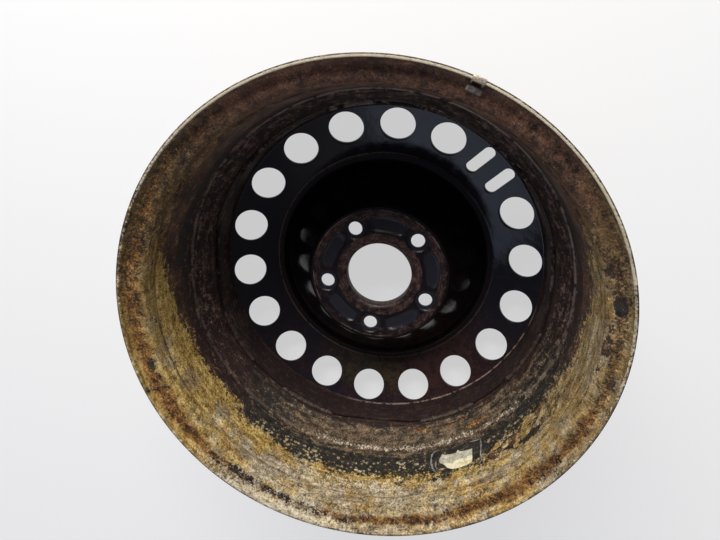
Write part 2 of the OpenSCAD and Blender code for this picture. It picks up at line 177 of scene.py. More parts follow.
def rounded(path, bends, step):
    """The path with its corners rounded, one point every step degrees of bend."""
    out = []
    for i, p in enumerate(path):
        if not bends[i]:
            out.append(p)
            continue
        d, e = unit(p - path[i - 1]), unit(path[i + 1] - p)
        turn = math.atan2(cross2(d, e), d @ e)
        start = p - d * bends[i] * math.tan(abs(turn) / 2)
        centre = start + left_of(d) * bends[i] * np.sign(turn)
        count = max(2, math.ceil(abs(math.degrees(turn)) / step))
        x, y = start - centre
        for a in np.linspace(0, turn, count + 1):
            c, s = math.cos(a), math.sin(a)
            out.append(centre + np.array((x * c - y * s, x * s + y * c)))
    return out


def filled(points, step):
    """The points with extra ones, so that none are further apart than step."""
    out = [points[0]]
    for p in points[1:]:
        n = max(1, math.ceil(np.linalg.norm(p - out[-1]) / step - 1e-6))
        base = out[-1]
        out += [base + (p - base) * k / n for k in range(1, n + 1)]
    return out


def placed(name, data):
    """A new object in the scene."""
    obj = bpy.data.objects.new(name, data)
    bpy.context.scene.collection.objects.link(obj)
    return obj


def mesh_object(name, verts, faces, shade=True):
    mesh = bpy.data.meshes.new(name)
    mesh.from_pydata([tuple(v) for v in np.asarray(verts, float) * MM], [], faces)
    mesh.validate()
    mesh.shade_smooth() if shade else mesh.shade_flat()
    return placed(name, mesh)


def outward(obj, weld=0.0):
    """Turns the faces of an object to point out of it, after joining the points that are closer than weld metres."""
    work = bmesh.new()
    work.from_mesh(obj.data)
    if weld:
        bmesh.ops.remove_doubles(work, verts=work.verts, dist=weld)
    bmesh.ops.recalc_face_normals(work, faces=work.faces)
    work.to_mesh(obj.data)
    work.free()
    return obj


def piece(obj, node):
    """Makes an object stand for a node of the solids."""
    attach(obj, "root")
    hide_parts(node)
    return obj


def points_of(obj):
    """Vertices of an object, in millimetres."""
    co = np.empty(len(obj.data.vertices) * 3)
    obj.data.vertices.foreach_get("co", co)
    return co.reshape(-1, 3) / MM


def ring_faces(rings, size, closed):
    """Quads between rings of size points that follow each other in one list."""
    return [
        (i * size + j, (i + 1) % rings * size + j, (i + 1) % rings * size + (j + 1) % size, i * size + (j + 1) % size)
        for i in range(rings if closed else rings - 1) for j in range(size)
    ]


def tube_faces(base, rings, size):
    """Faces of a tube with closed ends, whose points start at base."""
    ends = [tuple(range(size)), tuple(range(rings * size - 1, (rings - 1) * size - 1, -1))]
    return [tuple(base + i for i in f) for f in ring_faces(rings, size, False) + ends]


def polar(r, a, z):
    a = np.radians(a)
    return np.stack([r * np.cos(a), r * np.sin(a), z + 0 * r], -1)


def in_polar(plan):
    """Radii and angles in degrees of points in plan."""
    return np.hypot(plan[..., 0], plan[..., 1]), np.degrees(np.arctan2(plan[..., 1], plan[..., 0]))


def lathe(loop, turns):
    """Vertices and faces of a closed section loop turned round the axis."""
    r, z = np.array(loop).T
    verts = np.concatenate([polar(r, a, z) for a in np.arange(turns) * 360.0 / turns])
    return verts, ring_faces(turns, len(loop), True)


def noise_at(points, size, octaves, seed):
    """Fractal noise, about -1 to 1, at points in millimetres."""
    shift = Vector((17.3 * seed, -9.1 * seed, 5.7 * seed))
    return np.array([noise.fractal(Vector(p) / size + shift, 0.9, 2.0, octaves) for p in points])


def flat_noise(points, size, octaves, seed):
    """The same noise at points of a plane."""
    return noise_at(np.c_[points, 0 * points[:, 0]], size, octaves, seed)


def smooth(x, low, high):
    t = np.clip((x - low) / (high - low), 0, 1)
    return t * t * (3 - 2 * t)


def band(x, middle, half, core):
    """1 within core of the middle, 0 beyond half."""
    return smooth(np.abs(x - middle), half, core)


def most(*masks):
    return np.max(masks, 0)


def table(make, entries):
    """The results of make for the named entries of a table."""
    return SimpleNamespace(**{name: make(entry) for name, entry in entries.items()})


def paint_attribute(obj, name, channels):
    layer = obj.data.color_attributes.new(name, "FLOAT_COLOR", "POINT")
    layer.data.foreach_set("color", np.stack(channels, 1).astype(np.float32).ravel())


def wheel_angle(co):
    return (np.degrees(np.arctan2(co[:, 1], co[:, 0])) - VIEW_TURN) % 360


def along(angle, *stops):
    """A value that changes round the wheel, from (angle, value) stops."""
    at, value = np.array(stops, float).T
    return np.interp(angle % 360, at, value, period=360)


def near(angle, depth, a, z, half_a, half_z):
    """1 at the middle of a patch, 0 at its rim and less beyond it."""
    da = (angle - a + 180) % 360 - 180
    return 1 - np.hypot(da / half_a, (depth - z) / half_z)


def patches(angle, depth, rough, *spots):
    """Union of soft patches, each (angle, depth, half angle, half depth), with a ragged rim."""
    return smooth(np.max([near(angle, depth, *p) for p in spots], 0) + rough, 0.0, 0.45)


class Shader:
    """A node material whose helpers return sockets."""

    def __init__(self, name):
        self.mat = bpy.data.materials.new(name)
        self.mat.use_nodes = True
        self.tree = self.mat.node_tree
        self.bsdf = self.tree.nodes["Principled BSDF"]
        self.base = None

    def put(self, socket, value):
        if isinstance(value, bpy.types.NodeSocket):
            self.tree.links.new(value, socket)
        elif isinstance(value, tuple) and len(value) == 3 and socket.type == "RGBA":
            socket.default_value = (*value, 1)
        else:
            socket.default_value = value

    def node(self, kind, **props):
        n = self.tree.nodes.new("ShaderNode" + kind)
        for k, v in props.items():
            setattr(n, k, v)
        return n

    def made(self, kind, output, inputs, **props):
        """An output of a new node whose inputs are set."""
        n = self.node(kind, **props)
        for key, value in inputs.items():
            self.put(n.inputs[key], value)
        return n.outputs[output]

    def place(self, stretch=None):
        """Object coordinates, squeezed by a factor on each axis."""
        where = self.node("TexCoord").outputs["Object"]
        return self.made("Mapping", 0, {"Vector": where, "Scale": stretch}) if stretch else where

    def axes(self):
        """The three object coordinates."""
        n = self.node("SeparateXYZ")
        self.put(n.inputs[0], self.place())
        return n.outputs

    def math(self, op, a, b=0.0):
        return self.made("Math", 0, {0: a, 1: b}, operation=op)

    def add(self, a, b):
        return self.math("ADD", a, b)

    def mul(self, a, b):
        return self.math("MULTIPLY", a, b)

    def most(self, a, b):
        return self.math("MAXIMUM", a, b)

    def span(self, x, low, high, to_low=0.0, to_high=1.0):
        ends = {0: x, 1: low, 2: high, 3: to_low, 4: to_high}
        return self.made("MapRange", 0, ends, interpolation_type="SMOOTHSTEP")

    def line(self, x, at, half, core):
        """1 where x is within core of a place, 0 beyond half."""
        return self.span(self.math("ABSOLUTE", self.add(x, -at)), half, core)

    def noise(self, scale, detail, rough, stretch=None):
        settings = {"Vector": self.place(stretch), "Scale": scale, "Detail": detail, "Roughness": rough}
        return self.made("TexNoise", "Fac", settings)

    def cells(self, scale):
        return self.made("TexVoronoi", "Distance", {"Vector": self.place(), "Scale": scale})

    def blend_noises(self, start, *parts):
        """A value moved up and down by noises, each (noise, weight)."""
        for n, w in parts:
            start = self.add(start, self.mul(self.add(n, -0.5), w))
        return start

    def broken(self, mask, *parts, edge=(0.42, 0.6)):
        """A mask broken up by noises, with a crisp edge or a given one."""
        return self.span(self.blend_noises(mask, *parts), *edge)

    def mix(self, fac, a, b):
        return self.made("Mix", 2, {0: fac, 6: a, 7: b}, data_type="RGBA")

    def blend(self, fac, a, b):
        return self.made("Mix", 0, {0: fac, 2: a, 3: b}, data_type="FLOAT")

    def coat(self, cover, colour, share=None):
        """Lays a colour over the base colour, in full or by a share."""
        self.base = self.mix(self.mul(cover, share) if share else cover, self.base, colour)

    def ramp(self, fac, stops):
        n = self.node("ValToRGB")
        e = n.color_ramp.elements
        while len(e) < len(stops):
            e.new(0.5)
        for slot, (pos, colour) in zip(e, stops):
            slot.position = pos
            slot.color = (*colour, 1)
        self.put(n.inputs[0], fac)
        return n.outputs[0]

    def ramps(self, fac, entries):
        return table(lambda stops: self.ramp(fac, stops), entries)

    def paint(self, name):
        """The four channels of a painted attribute."""
        a = self.node("Attribute", attribute_name=name)
        s = self.node("SeparateColor")
        self.put(s.inputs[0], a.outputs["Color"])
        return s.outputs[0], s.outputs[1], s.outputs[2], a.outputs["Alpha"]

    def bump(self, height, strength, distance):
        return self.made("Bump", "Normal", {"Strength": strength, "Distance": distance, "Height": height})

    def done(self, **sockets):
        for k, v in sockets.items():
            self.put(self.bsdf.inputs[k.replace("_", " ")], v)
        return self.mat


def rim_section():
    """The rolled section, tyre side first, and its stretch on the tyre side."""
    section = np.array((
        (FLANGE_R, LIP_LOW, 0), (FLANGE_R, FACE_LOW, FLANGE_BEND), (BEAD_R, FACE_LOW, SEAT_BEND),
        (SEAT_END_R, FACE_LOW + SEAT_WIDTH, HUMP_BEND), (HUMP_R, FACE_LOW + HUMP_FROM_FACE, HUMP_BEND),
        (BARREL_R, WALL_TOP, HUMP_BEND), (WELL_R, WELL_LOW, WELL_BEND), (WELL_R, WELL_HIGH, WELL_BEND),
        (SHOULDER_R, SHOULDER_Z, WELL_BEND), (BARREL_R, BARREL_END, HUMP_BEND),
        (HUMP_R, FACE_HIGH - HUMP_FROM_FACE, HUMP_BEND), (SEAT_END_R, FACE_HIGH - SEAT_WIDTH, HUMP_BEND),
        (BEAD_R, FACE_HIGH, SEAT_BEND), (FLANGE_R, FACE_HIGH, FLANGE_BEND), (FLANGE_R, LIP_HIGH, 0)))
    path, bends = list(section[:, :2]), section[:, 2]
    # The inside, which is seen from close by, has the finer points
    outer = filled(rounded(path, bends, 15), 7.0)
    inner = filled(rounded(*moved(path, bends, RIM_T), 9), 2.35)

    def cut_edge(a, b, way):
        """The sheet's cut edge from corner a to corner b, with small soft corners."""
        across, way = unit(b - a), np.array(way, float)
        near_a, near_b = a + LIP_SOFT * (across - way), b - LIP_SOFT * (across + way)
        slant = LIP_SOFT * math.sqrt(0.5)
        return [near_a + slant * (way - across), near_a + LIP_SOFT * way, (near_a + near_b) / 2 + LIP_SOFT * way,
                near_b + LIP_SOFT * way, near_b + slant * (way + across)]

    high = cut_edge(outer[-1], inner[-1], (0, 1))
    low = cut_edge(inner[0], outer[0], (0, -1))
    drop = np.array((0, LIP_SOFT))
    for side in (outer, inner):
        side[0], side[-1] = side[0] + drop, side[-1] - drop
    return outer + high + inner[::-1] + low, np.array(outer)


def pierced(obj, centre, way, radius):
    """Cuts a round hole through an object."""
    turns = np.linspace(0, 2 * math.pi, HOLE_STEPS, endpoint=False)
    ring = [(radius * math.cos(a), radius * math.sin(a)) for a in turns]
    turn = Vector(way).to_track_quat("Z", "Y").to_matrix()
    verts = [Vector(centre) + turn @ Vector((x, y, z)) for z in (-HOLE_REACH, HOLE_REACH) for x, y in ring]
    tool = outward(mesh_object("hole_tool", verts, tube_faces(0, 2, HOLE_STEPS), False))
    cut = obj.modifiers.new("hole", "BOOLEAN")
    cut.object, cut.operation, cut.solver = tool, "DIFFERENCE", "EXACT"
    bpy.context.view_layer.update()
    mesh = bpy.data.meshes.new_from_object(obj.evaluated_get(bpy.context.evaluated_depsgraph_get()))
    obj.modifiers.remove(cut)
    old, obj.data = obj.data, mesh
    mesh.name = old.name + "_pierced"
    bpy.data.meshes.remove(old)
    bpy.data.objects.remove(tool)
    mesh.set_sharp_from_angle(angle=SHARP)


def make_rim():
    loop, tyre_path = rim_section()
    obj = piece(mesh_object("rim_sheet", *lathe(loop, RIM_TURNS)), "rim")
    pierced(obj, VALVE_AT, VALVE_WAY, VALVE_R)
    paint_rim(obj, tyre_path)
    return obj


def paint_rim(obj, tyre_path):
    """Masks of the rim's rust, dirt and wear, by wheel angle and by depth below the upper lip."""
    co = points_of(obj)
    angle, r, z = wheel_angle(co), np.hypot(co[:, 0], co[:, 1]), co[:, 2]
    depth = LIP_HIGH - z
    run = depth + FLANGE_R - RIM_T - r
    wave, ripple = noise_at(co, 24, 4, 1), noise_at(co, 9, 3, 2)
    rough = 0.35 * wave + 0.2 * ripple
    around, deep, level = partial(along, angle), partial(smooth, depth), partial(band, depth)
    blots, dots = partial(patches, angle, depth, rough), partial(patches, angle, run, rough)
    on_face, hidden, well = depth < FACE_DEPTH, deep(150, 160), deep(117, 125) * deep(142, 132)
    # The tyre side lies outside the middle of the sheet
    lips = on_face | (z < LIP_LOW + FACE_DEPTH)
    middle = np.interp(z, tyre_path[:, 1], tyre_path[:, 0]) - RIM_T / 2
    tyre = np.where(lips, r > FLANGE_R - 0.7, r > middle)
    inside = 1.0 - tyre
    # Dark spots in the crust, by the way along the sheet from the lip
    spots = inside * most(
        patches(angle, run, 0.3 * wave + 0.7 * ripple, (5.5, 16.5, 2.3, 7)),
        dots((319, 64, 6, 5), (192, 19, 2.5, 4)),
        0.62 * dots((355.7, 26.5, 3, 6.5), (14.8, 21, 2.4, 8), (231, 20, 5, 4), (241, 19, 4.5, 3.5)),
        0.45 * dots((349, 30, 2, 5), (0.5, 24, 2, 5)))
    # Golden crust over the lit half of the barrel, down to an uneven edge
    edge = around((118, 6), (150, 28), (170, 48), (190, 70), (212, 75), (235, 60), (252, 54), (275, 53), (285, 50),
                  (302, 49), (307, 62), (332, 75), (350, 62), (2, 52), (10, 49), (22, 40), (40, 8))
    above = edge - depth + 9 * wave
    share = around((110, 0), (150, 0.45), (172, 0.95), (190, 1), (330, 1), (350, 0.95), (10, 0.85), (22, 0.6),
                   (32, 0.3), (45, 0))
    flecked = around((298, 0), (306, 1), (326, 1), (340, 0.4), (352, 0)) * deep(32, 46) * smooth(ripple, -0.3, 0.2)
    wide = around((140, 8), (165, 11), (205, 10), (222, 6.5), (260, 7.5), (340, 7.5)) * (1 + 0.35 * ripple)
    face = band(r + 2.5 * wave, FACE_R, wide, wide / 3) * on_face * inside
    bare = around((330, 0), (345, 0.1), (5, 0.1), (20, 0.3), (30, 0.5), (45, 0)) * deep(17, 9)
    ochre = inside * share * smooth(above, -16, 14) * (1 - 0.7 * flecked) * (1 - 0.45 * face) * (1 - bare) * (1 - spots)
    # Its hue, and islands of it below the edge, clear of the pad
    gilt = around((20, 0.5), (160, 0.85), (190, 0.95), (212, 0.75), (235, 0.4), (255, 0.45), (290, 0.5), (310, 0.6))
    gilt = gilt + 0.4 * level(50, 16, 4) * around((190, 0), (235, 0.5), (280, 1), (300, 0.6), (330, 0.2))
    gilt = gilt + 0.55 * band(depth + 9, edge, 15, 4) * around((160, 0), (175, 1), (232, 1), (245, 0)) + 0.2 * wave
    speck = around((195, 0), (222, 0.5), (245, 0.9), (285, 0.85), (310, 0.6), (345, 0.5), (5, 0.2), (30, 0))
    speck = inside * speck * level(66, 22, 6) * (1 - patches(angle, depth, 0, (294.7, 69, 13, 30)))
    # Orange rust on the face of the flange, in scattered patches and at both bead seats
    red = around((20, 0.2), (60, 0.24), (110, 0.32), (150, 0.46), (175, 0.56), (200, 0.75), (222, 0.65), (236, 0.3),
                 (258, 0.55), (285, 0.75), (335, 0.72), (347, 0.4), (357, 0.2), (8, 0.12))
    red = most(
        red * face * (1 - spots) * (1 + 0.45 * wave),
        0.38 * blots((105, 22, 8, 9), (141, 30, 6, 14), (128, 26, 5, 10), (48, 30, 12, 12), (75, 40, 10, 20),
                     (30, 58, 10, 14), (160, 24, 9, 14)),
        0.5 * blots((294, 116, 7, 5), (303, 106, 7, 5), (285, 117, 6, 4)))
    red = np.where(tyre, 0.5 * band(np.abs(z - MIDDLE_Z), 80, 13, 7), red)
    worn = inside * blots((189, 30, 4, 12), (202, 38, 4, 17), (217, 50, 4, 12), (237, 40, 3.5, 15), (228, 26, 5, 8),
                          (262, 22, 8, 6), (306, 24, 7, 6), (60, 88, 18, 12), (29, 62, 10, 15), (120, 54, 6, 8))
    # Browner crust on the right and along the upper seat, reddish top
    brown = around((300, 0), (318, 0.4), (332, 0.6), (350, 0.62), (10, 0.62), (30, 0.4), (45, 0))
    brown = brown * smooth(above, -6, 10) * (1 - spots) + deep(58, 24) * around(
        (10, 0), (30, 0.36), (60, 0.36), (95, 0.4), (125, 0.5), (150, 0.7), (180, 0.55), (196, 0.3), (208, 0))
    rosy = around((5, 0), (25, 0.4), (60, 0.6), (90, 0.8), (112, 0.5), (132, 0.15), (150, 0))
    rosy = most(inside * rosy * deep(48, 26) * (1 + 0.5 * on_face),
                0.27 * blots((294, 116, 9, 7), (303, 106, 9, 7), (285, 117, 8, 6)))
    # Dark paint below the crust, in a stripe at the upper left and on the slope, warmer away from the lit side
    bend = around((90, 92), (120, 88), (148, 82), (172, 70))
    stripe = around((88, 0), (108, 0.75), (150, 1), (165, 0.9), (178, 0)) * inside * band(depth + 3 * wave, bend, 9, 4)
    dark = most(
        deep(66, 84) * around((15, 0.7), (38, 0.72), (60, 0.5), (140, 0.6), (190, 0.8), (222, 0.65), (240, 0.4),
                              (310, 0.4), (330, 0.8)),
        blots((148.5, 81, 6, 10), (319, 44, 7, 5), (196, 96, 12, 10), (222, 88, 14, 12), (180, 90, 16, 14)),
        around((205, 0), (225, 1), (330, 1), (350, 0.3), (355, 0)) * smooth(depth - edge, -10, 2) * deep(99, 89),
        0.95 * deep(95, 99) * around((0, 0.7), (50, 1), (130, 1), (180, 0.7)),
        spots, stripe, 0.8 * hidden)
    warm = around((212, 1), (230, 0), (330, 0), (346, 0.8), (0, 1)) * deep(36, 60)
    warm = most(warm, 0.9 * deep(117, 127)) * (1 - 0.8 * stripe)
    # Pale wear of the flange, and painted highlights on the ridge above the slope, a band of the barrel and the cut
    # edge
    # The cut edge's painted highlight is brightest at the top; in the well this coat is a painted reflection
    pale = most(
        deep(13, 5) * around((215, 0), (236, 0.75), (252, 0.75), (268, 0.2), (290, 0.3), (310, 0.1), (340, 0)),
        level(98.5, 5, 1) * around((235, 0), (255, 0.42), (300, 0.42), (318, 0.3), (330, 0)),
        inside * level(44, 11, 3) * around((236, 0), (248, 0.36), (258, 0.46), (272, 0.46), (280, 0.36), (292, 0)),
        deep(3, 0.6) * around((20, 1.0), (60, 1.4), (105, 1.4), (122, 1.15), (150, 0.42), (180, 0.3), (330, 0.2),
                              (0, 0.6)),
        0.42 * inside * well * around((40, 0), (58, 1), (94, 1), (110, 0)))
    # Dust on the slope; on the ridge this coat is a painted highlight, and in the well a painted sheen in the shade
    dust_and_sheen = around((20, 0.38), (60, 0.42), (120, 0.4), (180, 0.36), (206, 0.05), (227, 0.22), (241, 0.6), (262, 0.68),
                  (305, 0.6), (335, 0.35))
    start = around((20, 80), (200, 80), (235, 74), (305, 74), (335, 80))
    dust_and_sheen = most(
        dust_and_sheen * deep(start, 97) * deep(130, 114) * (1 - 0.8 * stripe),
        level(99, 7, 2) * around((225, 0), (245, 0.7), (300, 0.8), (316, 0.35), (330, 0)),
        0.8 * well * around((35, 0), (54, 1.2), (70, 1.2), (92, 0.95), (112, 0.2), (120, 0)))
    # Where a thin painted highlight runs along the ridge
    line = around((350, 0.2), (10, 0.7), (30, 0.65), (60, 1), (80, 0.9), (120, 0.5), (170, 0.3), (215, 0.1))
    # The tyre side is even
    dark, pale, dust_and_sheen = np.where(tyre, 0.62, dark), np.where(tyre, 0.1, pale), np.where(tyre, 0.4, dust_and_sheen + 0.25 * hidden)
    paint_attribute(obj, "coat", (ochre, red, worn, dark))
    paint_attribute(obj, "dirt_and_highlights", (pale, dust_and_sheen, gilt, speck))
    paint_attribute(obj, "edges", (line * inside, inside * brown, warm, rosy))


class Sheet:
    """A bent sheet as pairs of points on its inboard and outboard side."""

    def __init__(self):
        self.top, self.low, self.faces, self.loops = [], [], [], []

    def grid(self, top, low):
        """Rings of point pairs joined by quads; returns the index grid."""
        rows, cols = len(top), len(top[0])
        base = len(self.top)
        self.top += [p for row in top for p in row]
        self.low += [p for row in low for p in row]
        self.faces += [tuple(base + i for i in f) for f in ring_faces(rows, cols, False)]
        return base + np.arange(rows * cols).reshape(rows, cols)

    def edge(self, ids, out, soft):
        """A free edge along the points ids: out points off the sheet, soft is the radius of its two corners."""
        self.loops.append((list(ids), np.asarray(out, float), soft))

    def build(self, name):
        top, low = np.array(self.top), np.array(self.low)
        n = len(top)
        verts = [*top, *low]
        faces = self.faces + [tuple(i + n for i in f[::-1]) for f in self.faces]
        steps = [(0.707, 0.293), (1.0, 1.0)]
        for ids, out, soft in self.loops:
            t, b = top[ids], low[ids]
            down = (b - t) / np.linalg.norm(b - t, axis=1)[:, None]
            rings = [ids]
            for start, way, corner in ((t, 1, steps), (b, -1, steps[::-1])):
                for side, drop in corner:
                    rings.append(list(range(len(verts), len(verts) + len(ids))))
                    verts += list(start + out * side * soft + down * drop * soft * way)
            rings.append([i + n for i in ids])
            for a, c in zip(rings, rings[1:]):
                faces += [(a[j], c[j], c[(j + 1) % len(ids)], a[(j + 1) % len(ids)]) for j in range(len(ids))]
        return outward(mesh_object(name, verts, faces), 2e-6)


def ring_z(r):
    return CORNER[1] + (r - CORNER[0]) * math.tan(BETA)


def kidney(x, y):
    """Signed distance to the pocket between two bolts, in the plan of a bolt's sector."""
    half_sector = 180 / BOLTS
    a = np.degrees(np.arctan2(y, x))
    a = np.abs((a + half_sector) % (2 * half_sector) - half_sector)
    off = np.radians(np.clip(half_sector - a - POCKET_SPAN / 2, 0, None))
    r = np.hypot(x, y)
    return np.hypot(r * np.cos(off) - BOLT_R, r * np.sin(off)) - POCKET_HALF


def pad_heights(x, y):
    """Heights of both sides of the contact face, in the plan of a bolt's sector with the bolt on x."""
    rho, pocket = np.hypot(x - BOLT_R, y), kidney(x, y)
    top = -POCKET_DEEP * smooth(-pocket, -0.6, 2.6) - DISH_DEEP * smooth(rho, 13.2, 10.4)
    boss = np.interp(rho, (BOLT_HOLE, 9.48, 10.0, 11.2, 13.4), (-0.4, -4, -4, -4, 0))
    low = -DISC_T + np.minimum(-POCKET_DEEP * smooth(-pocket, -2.6, 1.0), boss)
    return top, low


def box_loop(low_r, high_r, a0, a1, steps_a, steps_r):
    """Points round a polar box, in plan, anticlockwise from its low corner."""
    a, r = np.linspace(a0, a1, steps_a + 1), np.linspace(low_r, high_r, steps_r + 1)
    pr = np.concatenate([r[:-1], np.full(steps_a, high_r), r[::-1][:-1], np.full(steps_a, low_r)])
    pa = np.concatenate([np.full(steps_r, a0), a[:-1], np.full(steps_r, a1), a[::-1][:-1]])
    return polar(pr, pa, 0.0)[:, :2]


def stadium(way, half, radius):
    """Where rays from the middle of a slot along x, in directions way, leave it."""
    c, s = np.cos(way), np.sin(way)
    flat = radius / np.maximum(np.abs(s), 1e-9)
    end = half * np.abs(c) + np.sqrt(np.maximum(radius ** 2 - (half * s) ** 2, 0))
    t = np.where(np.abs(flat * c) <= half, flat, end)
    return np.stack([t * c, t * s], -1)


def spun(x, y, z, degrees):
    """Directions turned about the wheel's axis."""
    t = math.radians(degrees)
    return np.stack([x * math.cos(t) - y * math.sin(t), x * math.sin(t) + y * math.cos(t), z + 0 * x], -1)


def scallop(turn):
    """Depth of the scallops in the flange's free edge."""
    chord = CORNER[0] * np.radians((turn - INDEX) % SCALLOP_STEP - SCALLOP_STEP / 2)
    arc = SCALLOP_DEEP - SCALLOP_R + np.sqrt(np.maximum(SCALLOP_R ** 2 - chord ** 2, 0))
    return np.where(np.abs(chord) < SCALLOP_HALF, np.maximum(arc, 0), 0)


def level_pair(r):
    """Both sides of the contact face at a radius."""
    return np.array((r, 0.0)), np.array((r, -DISC_T))


def ring_pair(r):
    """Both sides of the vent ring at a radius."""
    p = np.array((r, ring_z(r)))
    return p, p + np.array((math.sin(BETA), -math.cos(BETA))) * DISC_T


def disc_pairs():
    """Pairs of points on both sides of the disc's section, with the long straight stretches filled in."""
    corners = ((BORE_R, -COLLAR), (BORE_R, 0.0), (PAD_EDGE_R, 0.0), CROWN, CORNER, (CORNER[0], EDGE_Z))
    path, bends = [np.array(p) for p in corners], [0, 5, 6, 9, 5, 0]
    top = rounded(path, bends, 10)
    low = rounded(*moved(path, bends, -DISC_T), 10)
    pairs = [(top[0], low[0])]
    for t, b in zip(top[1:], low[1:]):
        t0, b0 = pairs[-1]
        n = max(1, math.ceil(np.linalg.norm(t - t0) / 4.6))
        pairs += [(t0 + (t - t0) * k / n, b0 + (b - b0) * k / n) for k in range(1, n + 1)]
    return pairs


def bolt_sector(sheet, turn):
    """The contact face round one bolt."""
    half = 180 // BOLTS
    outer = box_loop(PAD_LOW_R, PAD_HIGH_R, -half, half, 72, 18)
    way = np.arctan2(outer[:, 1], outer[:, 0] - BOLT_R)
    ray = np.stack([np.cos(way), np.sin(way)], -1)
    rings = (BOLT_HOLE + BOLT_SOFT, 9.0, 10.1, 10.9, 11.8, 12.7, 13.8)
    plan = [np.array((BOLT_R, 0.0)) + ray * r for r in rings]
    plan += [plan[-1] + (outer - plan[-1]) * f for f in np.linspace(0, 1, 10)[1:]]
    plan = np.array(plan)
    r, a = in_polar(plan)
    high, under = pad_heights(plan[..., 0], plan[..., 1])
    fade = smooth(r, PAD_LOW_R, PAD_LOW_R + 3) * smooth(r, PAD_HIGH_R, PAD_HIGH_R - 3)
    ids = sheet.grid(polar(r, a + turn, high * fade), polar(r, a + turn, -DISC_T + (under + DISC_T) * fade))
    sheet.edge(ids[0], -spun(ray[:, 0], ray[:, 1], 0.0, turn), BOLT_SOFT)


def vent_sector(sheet, turn, a0, a1, mid_y, half, radius):
    """The vent ring round one vent or slot, from angle a0 to a1 beside it."""
    outer = box_loop(RING_LOW_R, RING_HIGH_R, a0, a1, a1 - a0, 16)
    way = np.arctan2(outer[:, 1] - mid_y, (outer[:, 0] - VENT_R) / math.cos(BETA))
    hole = stadium(way, half, radius + VENT_SOFT)
    mouth = np.stack([VENT_R + hole[:, 0] * math.cos(BETA), mid_y + hole[:, 1]], -1)
    r, a = in_polar(np.array([mouth + (outer - mouth) * f for f in (0, 0.08, 0.2, 0.36, 0.56, 0.78, 1.0)]))
    slope = np.array((math.sin(BETA), -math.cos(BETA))) * DISC_T
    ids = sheet.grid(polar(r, a + turn, ring_z(r)), polar(r + slope[0], a + turn, ring_z(r) + slope[1]))
    inward = np.stack([np.clip(hole[:, 0], -half, half), 0 * way], -1) - hole
    inward /= np.linalg.norm(inward, axis=1)[:, None]
    out = spun(inward[:, 0] * math.cos(BETA), inward[:, 1], inward[:, 0] * math.sin(BETA), turn)
    sheet.edge(ids[0], out, VENT_SOFT)


def make_disc():
    sheet, pairs = Sheet(), disc_pairs()
    turns = np.arange(float(DISC_TURNS))

    def rows(chosen):
        return [np.array([polar(np.full(DISC_TURNS, p[side][0]), turns, p[side][1]) for p in chosen])
                for side in (0, 1)]

    # Collar and its bend, contact face, hat and crown
    collar = [p for p in pairs if p[0][0] < PAD_LOW_R - 0.1]
    ids = sheet.grid(*rows(collar + [level_pair(PAD_LOW_R)]))
    sheet.edge(ids[0], np.tile((0, 0, -1.0), (DISC_TURNS, 1)), FREE_EDGE_SOFT)
    for k in range(BOLTS):
        bolt_sector(sheet, INDEX + 360 // BOLTS * k)
    hat = [p for p in pairs if PAD_HIGH_R + 0.1 < p[0][0] < RING_LOW_R - 0.1]
    sheet.grid(*rows([level_pair(PAD_HIGH_R)] + hat + [ring_pair(RING_LOW_R)]))
    # Vent ring: two half sectors for the slots, then one sector to each vent
    step = 360 // VENTS
    half_step = step // 2
    vent_sector(sheet, INDEX, -half_step, 0, -SLOT_OFF, SLOT_HALF, SLOT_R)
    vent_sector(sheet, INDEX, 0, half_step, SLOT_OFF, SLOT_HALF, SLOT_R)
    for k in range(1, VENTS):
        vent_sector(sheet, INDEX + step * k, -half_step, half_step, 0.0, 0.0, VENT_HOLE)
    # Corner and flange, with scallops in its free edge
    sides = rows([ring_pair(RING_HIGH_R)] + [p for p in pairs if p[0][0] > RING_HIGH_R + 0.05])
    for side in sides:
        side[..., 2] -= np.clip((side[..., 2] + 18) / (EDGE_Z + 18), 0, 1) * scallop(turns)
    ids = sheet.grid(*sides)
    sheet.edge(ids[-1], np.tile((0, 0, 1.0), (DISC_TURNS, 1)), FREE_EDGE_SOFT)
    obj = piece(sheet.build("disc_sheet"), "disc")
    paint_disc(obj)
    return obj


